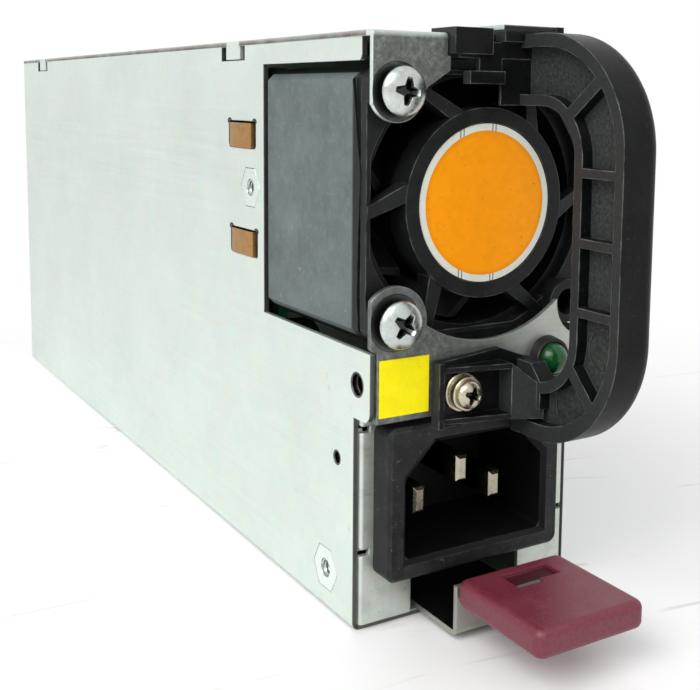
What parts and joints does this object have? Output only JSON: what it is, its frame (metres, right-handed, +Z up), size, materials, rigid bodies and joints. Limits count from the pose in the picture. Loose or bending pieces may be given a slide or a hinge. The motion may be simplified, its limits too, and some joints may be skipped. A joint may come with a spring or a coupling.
{
  "type": "hot swap server power supply",
  "caption": "Narrow sheet metal power supply with a front fan, a mains inlet socket, a fixed pull handle and a sprung release tab.",
  "frame": {"origin": "centre of the underside that the case rests on", "axes": "+Z up, +Y from the front towards the rear card edge, +X to the right seen from the front"},
  "size_m": [0.0398, 0.2287, 0.088],
  "materials": {
    "bearing_steel": "ground steel",
    "black_plastic": "moulded black plastic",
    "board_green": "green solder mask",
    "bracket_steel": "bright zinc plated steel",
    "can_black": "shrink sleeve",
    "copper": "bare copper alloy spring",
    "device_black": "moulded device bodies",
    "fan_plastic": "dark grey moulded plastic",
    "ferrite": "dark ferrite with varnished winding",
    "film_yellow": "moulded film capacitor",
    "fuse_glass": "glass tube with caps",
    "gold": "gold plate",
    "grip_maroon": "satin maroon moulding",
    "handle_plastic": "smooth black moulding",
    "heatsink_alu": "plain aluminium",
    "label_orange": "satin sticker",
    "label_white": "satin sticker",
    "label_yellow": "satin sticker",
    "laminations": "stacked laminations",
    "latch_steel": "satin spring steel",
    "lead_earth": "green sleeving",
    "lead_sleeve": "black sleeving",
    "lens_green": "green tinted lens",
    "magnet": "dark magnet",
    "pin_brass": "nickel plated brass",
    "plug_white": "natural nylon",
    "relay_case": "moulded case",
    "screw_nickel": "yellowish nickel plate",
    "screw_zinc": "bright zinc plate",
    "sheet_clear": "translucent insulating sheet",
    "zinc_steel": "spangled zinc coated steel"
  },
  "bodies": {
    "case": {"board_insulator": "sheet_clear", "board_screw": "screw_zinc", "boost_choke": "ferrite", "bulk_capacitor": "can_black", "card_contacts_left": "gold", "card_contacts_right": "gold", "chassis_base": "zinc_steel", "chassis_cover": "zinc_steel", "control_board": "board_green", "fan_bearing_front": "bearing_steel", "fan_bearing_rear": "bearing_steel", "fan_bearing_tube": "pin_brass", "fan_frame": "fan_plastic", "fan_guard": "fan_plastic", "fan_lead": "lead_sleeve", "fan_motor_board": "board_green", "fan_plug": "plug_white", "fan_screw_lower": "screw_zinc", "fan_screw_upper": "screw_zinc", "fan_stator": "laminations", "filter_capacitor": "film_yellow", "filter_choke": "ferrite", "front_bracket": "bracket_steel", "front_plate": "bracket_steel", "fuse_tube": "fuse_glass", "ground_spring_lower": "copper", "ground_spring_upper": "copper", "handle": "handle_plastic", "handle_screw": "screw_nickel", "handle_washer": "screw_zinc", "heatsink_primary": "heatsink_alu", "heatsink_secondary": "heatsink_alu", "hub_label_disc": "label_orange", "hub_label_ring": "label_white", "inlet_housing": "black_plastic", "inlet_lead_earth": "lead_earth", "inlet_lead_line": "lead_sleeve", "inlet_lead_neutral": "lead_sleeve", "inlet_pin_earth": "pin_brass", "inlet_pin_line": "pin_brass", "inlet_pin_neutral": "pin_brass", "lamp_lens": "lens_green", "lamp_ring": "black_plastic", "latch_rivet_left": "screw_zinc", "latch_rivet_right": "screw_zinc", "latch_root": "latch_steel", "main_board": "board_green", "main_transformer": "ferrite", "output_capacitor": "can_black", "output_choke": "ferrite", "pad_label": "label_yellow", "relay": "relay_case", "transistors_primary": "device_black", "wall_insert_lower": "screw_zinc", "wall_insert_upper": "screw_zinc"},
    "rotor": {"impeller": "fan_plastic", "impeller_shaft": "bearing_steel", "rotor_ring": "magnet"},
    "latch": {"latch_strip": "latch_steel", "latch_tab": "grip_maroon"}
  },
  "joints": [
    {"name": "fan_spin", "type": "hinge", "parent": "case", "child": "rotor", "pos_m": [0, -0.0855, 0.0624], "axis": [0, -1, 0], "continuous": true},
    {"name": "latch_press", "type": "hinge", "parent": "case", "child": "latch", "pos_m": [0, -0.0675, 0.0013], "axis": [-1, 0, 0], "range_deg": [0, 3.4], "stiffness_Nm_per_rad": 4}
  ]
}
